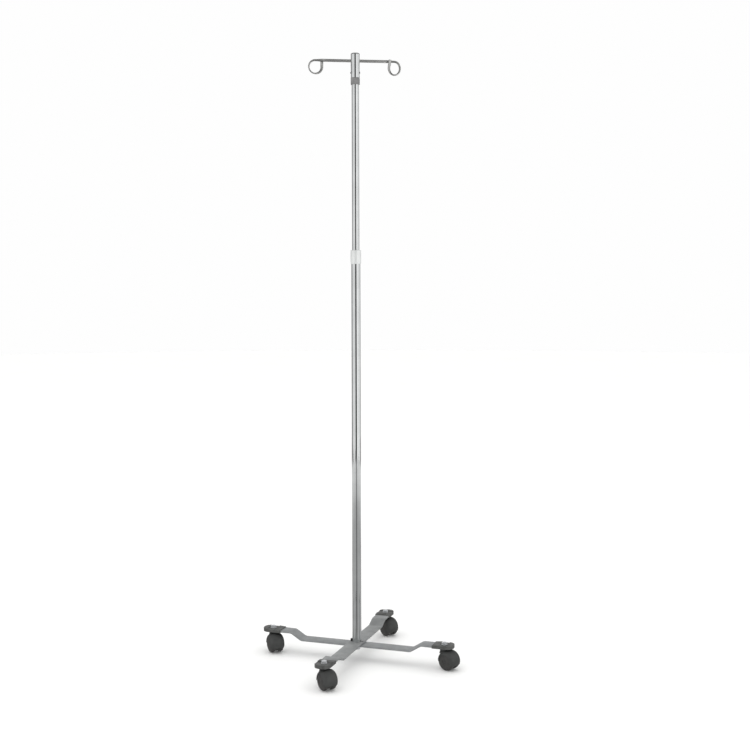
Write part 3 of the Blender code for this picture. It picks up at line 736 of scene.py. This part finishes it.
def leg_bar(name, hub_bottom, end_bottom, end):
    """A flat bar along X that steps up towards its two ends, with the holes drilled."""
    bpy.ops.mesh.primitive_plane_add(size=1, location=(0, 0, hub_bottom + BAR_THICKNESS / 2))
    bar = start(name, scale=(2 * end, BAR_WIDTH, 1))
    edit(bar)
    bends = (-JOGGLE_OUTER, -JOGGLE_INNER, JOGGLE_INNER, JOGGLE_OUTER)
    for bend in bends:
        bisect(bar, (bend, 0, 0), (1, 0, 0))
    choose(bar, "VERT", lambda vertex: abs(vertex.co.x) > JOGGLE_OUTER - MM)
    bpy.ops.transform.translate(value=(0, 0, end_bottom - hub_bottom))

    def on_bend(vertex):
        return min(abs(vertex.co.x - bend) for bend in bends) < 0.01 * MM

    choose(bar, "EDGE", lambda edge: all(on_bend(vertex) for vertex in edge.verts))
    bpy.ops.mesh.bevel(offset=3.7 * MM, segments=10, affect="EDGES")
    leave()
    apply(bar, "SOLIDIFY", thickness=BAR_THICKNESS, offset=0, use_even_offset=True)
    ease_edges(bar, 0.8 * MM, segments=3, angle=60)
    for reach in (-STEM_REACH, STEM_REACH):
        hole = rod("hole", STEM_RADIUS + CLEAR, end_bottom - 5 * MM, end_bottom + 10 * MM)
        hole.location.x = reach
        combine(bar, settle(hole))
    combine(bar, rod("hole", HUB_BOLT_RADIUS + CLEAR, hub_bottom - 5 * MM, hub_bottom + 10 * MM))
    return bar


def drill_pin_holes(bar, bottom, top):
    """Drill a finished bar for the two locating pins."""
    for pin in ("locating_pin_left", "locating_pin_right"):
        pin_low, pin_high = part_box(pin)
        hole = rod("hole", 3.1 * MM, bottom - 5 * MM, top + 5 * MM, sides=48)
        hole.location.x = (pin_low.x + pin_high.x) / 2
        combine(bar, settle(hole))


def make_leg_bars():
    """The two crossed bars, the upper one lying over the lower at the hub."""
    low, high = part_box("lower_leg_bar")
    end_bottom = high.z - BAR_THICKNESS
    lower = leg_bar("leg_bar_lower", low.z, end_bottom, high.x)
    drill_pin_holes(lower, low.z, high.z)
    smooth(lower, 30)
    finish_piece(lower, lower_bar_lacquer, "base", "satin_leg_steel", "lower_leg_bar")
    low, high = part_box("upper_leg_bar")
    upper = leg_bar("leg_bar_upper", low.z, end_bottom, high.y)
    upper.rotation_euler.z = math.radians(90)
    settle(upper)
    drill_pin_holes(upper, low.z, high.z)
    smooth(upper, 30)
    finish_piece(upper, upper_bar_lacquer, "base", "satin_leg_steel", "upper_leg_bar")


def make_pins():
    """The pins that keep the bars from turning on each other."""
    for side in ("left", "right"):
        node = f"locating_pin_{side}"
        low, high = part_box(node)
        radius = (high.x - low.x) / 2
        pin = rod(f"dowel_{side}", radius, low.z, high.z, sides=48)
        round_rim(pin, radius, high.z, 0.8 * MM, segments=4)
        round_rim(pin, radius, low.z, 0.5 * MM, segments=2)
        pin.location.x = (low.x + high.x) / 2
        settle(pin)
        smooth(pin)
        finish_piece(pin, black_oxide, "base", "dark_steel", node)


def make_base_bolt():
    """The hub bolt with its flat washer and its split spring washer."""
    low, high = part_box("base_bolt")
    head_top = low.z + 6.4 * MM
    bolt = hexagon("hub_bolt", 17 * MM, low.z, head_top)
    shank = rod("shank", HUB_BOLT_RADIUS, low.z + 3 * MM, high.z)
    round_rim(shank, HUB_BOLT_RADIUS, high.z, 0.8 * MM, segments=1)
    combine(bolt, shank, "UNION")
    smooth(bolt, 25)
    finish_piece(bolt, zinc, "base", "zinc_fastener", "base_bolt")
    bottom, top = node_span("base_washer")
    bore = HUB_BOLT_RADIUS + CLEAR
    washer = tube("hub_washer", node_radius("base_washer"), bore, bottom, top, 0.3 * MM)
    finish_piece(washer, zinc, "base", "zinc_fastener", "base_washer")
    bottom, top = node_span("base_spring_washer")
    spring = tube("hub_spring_washer", 9 * MM, bore, bottom, top, 0.2 * MM)
    split = block("split", (0, -0.8 * MM, -10 * MM), (20 * MM, 0.8 * MM, 10 * MM))
    split.rotation_euler.x = math.radians(20)
    split.location.z = (bottom + top) / 2
    settle(split)
    combine(spring, split)
    smooth(spring)
    finish_piece(spring, zinc, "base", "zinc_fastener", "base_spring_washer")


# ---------------------------------------------------------------- leg ends


def leg_cap():
    """A moulded cap along +X: two low domes with a cross valley for the nut between them."""
    low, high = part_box("cap_right")
    half_width = (high.y - low.y) / 2
    valley_floor = node_span("stem_washer_right")[0] - CLEAR
    cap = block("cap", (low.x, -half_width, low.z), (high.x, half_width, high.z))
    edit(cap)

    def is_nose_corner(cap_edge):
        first, second = cap_edge.verts
        return min(first.co.x, second.co.x) > high.x - MM and abs(first.co.z - second.co.z) > MM

    choose(cap, "EDGE", is_nose_corner)
    bpy.ops.mesh.bevel(offset=19 * MM, segments=16, affect="EDGES")
    valley = 8.4 * MM  # half its flat floor, along the leg
    slope = 3.2 * MM
    for offset in (-valley - slope, -valley, valley, valley + slope):
        bisect(cap, (STEM_REACH + offset, 0, 0), (1, 0, 0))
    choose(
        cap,
        "VERT",
        lambda v: abs(v.co.x - STEM_REACH) < valley + 0.1 * MM and v.co.z > high.z - MM,
    )
    bpy.ops.transform.translate(value=(0, 0, valley_floor - high.z))
    choose(cap, "VERT", lambda v: v.co.x < low.x + MM and v.co.z > high.z - MM)
    bpy.ops.transform.translate(value=(0, 0, -1.5 * MM))
    leave()
    ease_edges(cap, 3.4 * MM, segments=6, angle=30)
    bar_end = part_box("upper_leg_bar")[1]
    bar_bottom = bar_end.z - BAR_THICKNESS
    pocket = block(
        "pocket",
        (low.x - 5 * MM, -BAR_WIDTH / 2 - CLEAR, bar_bottom - CLEAR),
        (bar_end.y + CLEAR, BAR_WIDTH / 2 + CLEAR, bar_bottom + BAR_THICKNESS + CLEAR),
    )
    combine(cap, pocket)
    hole = rod("hole", STEM_RADIUS + CLEAR, low.z - 5 * MM, high.z + 5 * MM)
    hole.location.x = STEM_REACH
    combine(cap, settle(hole))
    smooth(cap, 40)
    return cap


def leg_places(prefix, reach=0.0):
    """A matrix for each leg: out by the reach, then round to the leg."""
    outward = Matrix.Translation((reach, 0, 0))
    places = {}
    for leg, turn in LEGS.items():
        places[f"{prefix}_{leg}"] = Matrix.Rotation(math.radians(turn), 4, "Z") @ outward
    return places


def finish_each(made, material, slot, node_prefix):
    """Finish one piece for each leg, all fixed to the base."""
    for leg, piece in zip(LEGS, made.values()):
        finish_piece(piece, material, "base", slot, f"{node_prefix}_{leg}")


def make_leg_ends():
    """On each leg: its cap, and the caster's stem with its washer and nut."""
    finish_each(copies(leg_cap(), leg_places("leg_cap")), cap_plastic, "charcoal_cap", "cap")
    bottom, top = node_span("stem_nut_right")
    nut = hexagon("nut", 13 * MM, bottom, top)
    combine(nut, rod("hole", STEM_RADIUS + CLEAR, bottom - 5 * MM, top + 5 * MM, sides=48))
    smooth(nut, 25)
    nuts = copies(nut, leg_places("stem_hex_nut", STEM_REACH))
    finish_each(nuts, zinc, "zinc_fastener", "stem_nut")
    bottom, top = node_span("stem_washer_right")
    washer = tube("washer", 8 * MM, STEM_RADIUS + CLEAR, bottom, top, 0.25 * MM, sides=64)
    washers = copies(washer, leg_places("stem_flat_washer", STEM_REACH))
    finish_each(washers, zinc, "zinc_fastener", "stem_washer")
    bottom, top = node_span("stem_right")
    stem = rod("stem", STEM_RADIUS, bottom, top)
    round_rim(stem, STEM_RADIUS, top, 0.7 * MM, segments=1)
    shoulder = rod("shoulder", 9 * MM, 54.8 * MM, 56.7 * MM)
    combine(stem, shoulder, "UNION")
    ease_edges(stem, 0.2 * MM, segments=2, angle=50)
    smooth(stem)
    stems = copies(stem, leg_places("swivel_stem", STEM_REACH))
    finish_each(stems, zinc, "zinc_fastener", "stem")


# ---------------------------------------------------------------- casters

TRAIL = 16 * MM
AXLE_HEIGHT = 24.786 * MM
HOOD_RADIUS = 28.1 * MM
HOOD_HALF_WIDTH = 22.9 * MM
HOOD_FULLNESS = 3.5  # 2 is an ellipse, and more is boxier
HOOD_RIM = 21 * MM  # half the width where its sides are open
HOOD_WALL = 1.3 * MM
HOOD_EDGE = (TRAIL - 32.3 * MM, 0, 25 * MM)  # a point on its sloping lower edge
HOOD_SLOPE = Vector((10 * MM, 0, 64.6 * MM)).normalized()  # square to that edge
WEB_HALF = 6 * MM
WEB_RADIUS = 21.4 * MM
NECK_RADIUS = 11 * MM
NECK_TOP = 54.5 * MM
AXLE_BORE = 3.3 * MM
WHEEL_CROWN = 7 * MM  # from the inner face out to the widest part of the tread
DOME_DEPTH = 9.2 * MM


def full_round(share, fullness):
    """A point on a quarter of a full, boxy oval."""
    angle = math.pi / 2 * share
    return math.cos(angle) ** (2 / fullness), math.sin(angle) ** (2 / fullness)


def lay_on_axle(piece):
    """Lay a piece that was turned about Z along Y, centred on the axle."""
    piece.rotation_euler.x = math.radians(90)
    piece.location = (TRAIL, 0, AXLE_HEIGHT)
    return settle(piece)


def caster_housing():
    """The hood over both wheels, the web between them and the neck, about the swivel axis."""
    bpy.ops.mesh.primitive_uv_sphere_add(segments=96, ring_count=48, radius=1)
    hood = start("housing")
    for vertex in hood.data.vertices:
        height = min(max(vertex.co.z, -1), 1)
        share = math.asin(abs(height)) / (math.pi / 2)
        radius, width = full_round(share, HOOD_FULLNESS)
        spread = away(vertex)
        if spread > 0.000001:
            vertex.co.x *= radius * HOOD_RADIUS / spread
            vertex.co.y *= radius * HOOD_RADIUS / spread
        vertex.co.z = math.copysign(width * HOOD_HALF_WIDTH, height)
    lay_on_axle(hood)
    edit(hood)
    bisect(hood, (0, HOOD_RIM, 0), (0, 1, 0), clear_outer=True)
    bisect(hood, (0, -HOOD_RIM, 0), (0, -1, 0), clear_outer=True)
    bisect(hood, HOOD_EDGE, HOOD_SLOPE, clear_inner=True)
    bpy.ops.mesh.select_all(action="SELECT")
    bpy.ops.mesh.normals_make_consistent(inside=False)
    leave()
    apply(hood, "SOLIDIFY", thickness=HOOD_WALL, offset=-1, use_even_offset=True)
    ease_edges(hood, 0.5 * MM, segments=3, angle=60)
    combine(hood, caster_web(), "UNION")
    combine(hood, caster_neck(), "UNION")
    combine(hood, rod("bore", STEM_RADIUS + CLEAR, 31.7 * MM, 60 * MM))
    combine(hood, lay_on_axle(rod("bore", AXLE_BORE, -30 * MM, 30 * MM, sides=48)))
    smooth(hood, 35)
    return hood


def caster_web():
    """The thick web between the wheels: cut off with the hood, with a round disc below."""
    web = lay_on_axle(rod("web", HOOD_RADIUS - 0.7 * MM, -WEB_HALF, WEB_HALF, sides=96))
    edit(web)
    bisect(web, HOOD_EDGE, HOOD_SLOPE, clear_inner=True, use_fill=True)
    leave()
    disc_half = WEB_HALF - 0.02 * MM
    disc = lay_on_axle(rod("disc", WEB_RADIUS, -disc_half, disc_half, sides=96))
    combine(web, disc, "UNION")
    return web


def caster_neck():
    """The neck under the stem, flared where it runs into the hood."""
    neck = rod("neck", NECK_RADIUS, 42 * MM, NECK_TOP, sides=72)
    edit(neck)
    choose(neck, "FACE", lambda face: face.normal.z < -0.9)
    bpy.ops.transform.resize(value=(1.25, 1.25, 1))
    leave()
    round_rim(neck, NECK_RADIUS, NECK_TOP, 1 * MM, segments=4)
    room = lay_on_axle(rod("room", 26.8 * MM, -30 * MM, 30 * MM, sides=96))
    combine(neck, room)
    return neck


def wheel():
    """A caster wheel about Z, the caster's middle at Z = 0: crowned, with a domed outside."""
    radius = AXLE_HEIGHT
    inner = WEB_HALF + CLEAR
    outer = inner + 15.6 * MM
    tyre = rod("wheel", radius + 1 * MM, inner, outer, sides=96)
    bpy.ops.mesh.primitive_uv_sphere_add(segments=96, ring_count=48, radius=radius)
    dome = start("dome", scale=(1, 1, DOME_DEPTH / radius))
    edit(dome)
    choose(dome, "VERT", lambda vertex: vertex.co.z < -0.01 * MM)
    bpy.ops.transform.resize(value=(1, 1, 3.2), center_override=(0, 0, 0))
    leave()
    dome.location.z = inner + WHEEL_CROWN
    combine(tyre, settle(dome), "INTERSECT")
    edit(tyre)
    choose(tyre, "EDGE", lambda edge: all(abs(v.co.z - inner) < 0.01 * MM for v in edge.verts))
    bpy.ops.mesh.bevel(offset=2.6 * MM, segments=5, affect="EDGES")
    choose(
        tyre,
        "FACE",
        lambda face: face.normal.z > 0.99 and face.calc_center_median().z > outer - 0.01 * MM,
    )
    bpy.ops.mesh.inset(thickness=1.2 * MM)
    bpy.ops.mesh.inset(thickness=1 * MM)
    bpy.ops.mesh.extrude_region_move(TRANSFORM_OT_translate={"value": (0, 0, -0.9 * MM)})
    bpy.ops.mesh.inset(thickness=0.9 * MM)
    bpy.ops.mesh.extrude_region_move(TRANSFORM_OT_translate={"value": (0, 0, 0.7 * MM)})
    bpy.ops.mesh.inset(thickness=2.5 * MM)
    bpy.ops.mesh.extrude_region_move(TRANSFORM_OT_translate={"value": (0, 0, -0.5 * MM)})
    leave()
    combine(tyre, rod("bore", AXLE_BORE, inner - 1 * MM, inner + 13.3 * MM, sides=48))
    ease_edges(tyre, 0.25 * MM, segments=2, angle=40)
    smooth(tyre, 40)
    return tyre


def make_casters():
    """Four casters, each turned as its wheel axles in the frame are."""
    rolls = {j["name"]: j for j in frame["joints"] if j["name"].startswith("roll_")}
    housing = caster_housing()
    master = wheel()
    housing_places = {}
    wheel_places = {}
    for leg in LEGS:
        low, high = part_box(f"stem_{leg}")
        stem = Matrix.Translation(((low.x + high.x) / 2, (low.y + high.y) / 2, 0))
        axle = rolls[f"roll_{leg}_a"]["axis"]
        turn = Matrix.Rotation(math.atan2(-axle[0], axle[1]), 4, "Z")
        housing_places[f"caster_housing_{leg}"] = stem @ turn
        for hand, side in (("a", -1), ("b", 1)):
            lie = Matrix.Rotation(-side * math.radians(90), 4, "X")
            at_axle = Matrix.Translation((TRAIL, 0, AXLE_HEIGHT))
            wheel_places[f"caster_wheel_{leg}_{hand}"] = stem @ turn @ at_axle @ lie
    for name, piece in copies(housing, housing_places).items():
        leg = name.split("_")[-1]
        finish_piece(piece, housing_nylon, f"caster_{leg}", "black_nylon", f"housing_{leg}")
    for name, piece in copies(master, wheel_places).items():
        node = name.replace("caster_", "")
        finish_piece(piece, wheel_nylon, node, "black_nylon", node)


# ---------------------------------------------------------------- carried-over pieces


def repaint(material, *nodes):
    """Give CAD nodes that are shown as they are their material."""
    for node in nodes:
        mesh = frame["nodes"][node].data
        mesh.materials.clear()
        mesh.materials.append(material)


make_pole()
make_collar()
make_stop_ring()
make_head()
make_buttons()
make_strap()
make_leg_bars()
make_pins()
make_base_bolt()
make_leg_ends()
make_casters()
repaint(acetal, "pole_foot_plug", "grip_collet", "slide_bush")
repaint(spring_steel, "button_leaf")
repaint(zinc, *(f"axle_{leg}" for leg in LEGS))


# ---------------------------------------------------------------- studio

CAMERA_AZIMUTH = 19.73  # degrees from -Y towards +X
CAMERA_DISTANCE = 3.3155  # from the pole, level
CAMERA_HEIGHT = 1.0652
CAMERA_HEADING = 18.84  # degrees that it looks to the left of +Y
CAMERA_DIP = 4.71
CAMERA_ROLL = -0.1
LENS_TO_WIDTH = 1218.7 / 750  # focal length over the picture's width
SENSOR_WIDTH = 36
SOFTBOX_DISTANCE = 3.4
OVERHEAD_HEIGHT = 4.5

def make_floor():
    """A wide matt white floor, just below the wheels."""
    bpy.ops.mesh.primitive_circle_add(
        vertices=128, radius=14, fill_type="NGON", location=(0, 0, -0.5 * MM)
    )
    floor = start("studio_floor")
    material, tree, shader, place = new_material("matt_white_floor", 0.0, 0.8)
    speckle = add_node(tree, "ShaderNodeTexNoise", {"Vector": place, "Scale": 3.0, "Detail": 2.0})
    tone = add_node(
        tree,
        "ShaderNodeMix",
        {0: speckle.outputs["Fac"], 6: colour("#f6f6f5"), 7: colour("#f9f9f8")},
        data_type="RGBA",
    )
    tree.links.new(tone.outputs[2], shader.inputs["Base Color"])
    shader.inputs["Specular IOR Level"].default_value = 0.1
    floor.data.materials.append(material)
    floor.visible_glossy = False


def make_world():
    """An even white room, with a white backdrop behind the object.

    Shiny pieces mirror a dark ceiling instead, and below the horizon a grey floor with a dimmer
    strip towards the camera and away from it.
    """
    world = bpy.data.worlds.new("studio")
    bpy.context.scene.world = world
    world.use_nodes = True
    tree = world.node_tree
    tree.nodes.clear()
    path = add_node(tree, "ShaderNodeLightPath")
    direction = add_node(tree, "ShaderNodeTexCoord").outputs["Generated"]
    up = add_node(tree, "ShaderNodeSeparateXYZ", {"Vector": direction}).outputs["Z"]
    below = add_node(
        tree,
        "ShaderNodeMapRange",
        {"Value": up, "From Min": -0.28, "From Max": -0.17, "To Min": 0.45, "To Max": 0.85},
    )
    above = add_node(
        tree,
        "ShaderNodeMapRange",
        {"Value": up, "From Min": -0.166, "From Max": -0.154, "To Min": 1.0, "To Max": 0.0},
    )
    turn = math.radians(CAMERA_AZIMUTH)
    camera_right = (math.cos(turn), math.sin(turn), 0)
    across = add_node(
        tree,
        "ShaderNodeVectorMath",
        {0: direction, 1: camera_right},
        operation="DOT_PRODUCT",
    )
    aside = add_node(tree, "ShaderNodeMath", {0: across.outputs["Value"]}, operation="ABSOLUTE")
    shaded = add_node(
        tree,
        "ShaderNodeMapRange",
        {
            "Value": aside.outputs["Value"],
            "From Min": 0.2,
            "From Max": 0.3,
            "To Min": 0.42,
            "To Max": 1.0,
        },
    )
    ground = add_node(
        tree,
        "ShaderNodeMath",
        {0: below.outputs["Result"], 1: shaded.outputs["Result"]},
        operation="MULTIPLY",
    )
    mirrored = add_node(
        tree,
        "ShaderNodeMix",
        {0: above.outputs["Result"], 2: 0.06, 3: ground.outputs["Value"]},
    )
    level = add_node(
        tree,
        "ShaderNodeMix",
        {0: path.outputs["Is Glossy Ray"], 2: 1.12, 3: mirrored.outputs[0]},
    )
    room = add_node(
        tree,
        "ShaderNodeBackground",
        {"Color": colour("#ffffff"), "Strength": level.outputs[0]},
    )
    backdrop = add_node(tree, "ShaderNodeBackground", {"Color": colour("#fefefe"), "Strength": 1.0})
    mixed = add_node(
        tree,
        "ShaderNodeMixShader",
        {
            0: path.outputs["Is Camera Ray"],
            1: room.outputs["Background"],
            2: backdrop.outputs["Background"],
        },
    )
    add_node(tree, "ShaderNodeOutputWorld", {"Surface": mixed.outputs["Shader"]})


def softbox(name, azimuth, width, strength, distance=SOFTBOX_DISTANCE, height=2.0, tall=4.0):
    """A large soft panel that shiny pieces mirror. Azimuth is from the camera's side, in degrees."""
    turn = math.radians(CAMERA_AZIMUTH + azimuth)
    light = bpy.data.lights.new(name, "AREA")
    light.shape = "RECTANGLE"
    light.size = width
    light.size_y = tall
    light.energy = strength * math.pi * width * tall
    lamp = bpy.data.objects.new(name, light)
    lamp.location = (distance * math.sin(turn), -distance * math.cos(turn), height)
    aim = Vector((0, 0, height)) - lamp.location
    lamp.rotation_euler = aim.to_track_quat("-Z", "Y").to_euler()
    lamp.visible_diffuse = False
    bpy.context.scene.collection.objects.link(lamp)


def make_lights():
    """Panels round the object for the shiny pieces, and a soft light from above."""
    softbox("soft_left", -56, width=5.3, strength=0.82)
    softbox("soft_left_side", -120, width=3.0, strength=0.3)
    softbox("soft_right", 41, width=3.0, strength=1.0)
    softbox("soft_side", 94, width=3.6, strength=0.85)
    softbox("soft_back", 180, width=5.0, strength=0.8, distance=3.6, height=1.3, tall=2.4)
    overhead = bpy.data.lights.new("overhead", "AREA")
    overhead.shape = "DISK"
    overhead.size = 5
    overhead.energy = 20
    lamp = bpy.data.objects.new("overhead", overhead)
    lamp.location = (0, 0, OVERHEAD_HEIGHT)
    bpy.context.scene.collection.objects.link(lamp)


def make_camera():
    """A long lens from the front right, looking a little down."""
    camera = bpy.data.objects.new("camera", bpy.data.cameras.new("camera"))
    camera.data.sensor_width = SENSOR_WIDTH
    camera.data.lens = SENSOR_WIDTH * LENS_TO_WIDTH
    azimuth = math.radians(CAMERA_AZIMUTH)
    heading = math.radians(CAMERA_HEADING)
    dip = math.radians(CAMERA_DIP)
    camera.location = (
        CAMERA_DISTANCE * math.sin(azimuth),
        -CAMERA_DISTANCE * math.cos(azimuth),
        CAMERA_HEIGHT,
    )
    level_right = Vector((math.cos(heading), math.sin(heading), 0))
    forward = Vector(
        (-math.sin(heading) * math.cos(dip), math.cos(heading) * math.cos(dip), -math.sin(dip))
    )
    level_up = level_right.cross(forward)
    roll = math.radians(CAMERA_ROLL)
    right = level_right * math.cos(roll) + level_up * math.sin(roll)
    up = right.cross(forward)
    camera.rotation_euler = Matrix((right, up, -forward)).transposed().to_euler()
    bpy.context.scene.collection.objects.link(camera)
    bpy.context.scene.camera = camera


make_floor()
make_world()
make_lights()
make_camera()
bpy.context.scene.view_settings.view_transform = "Standard"
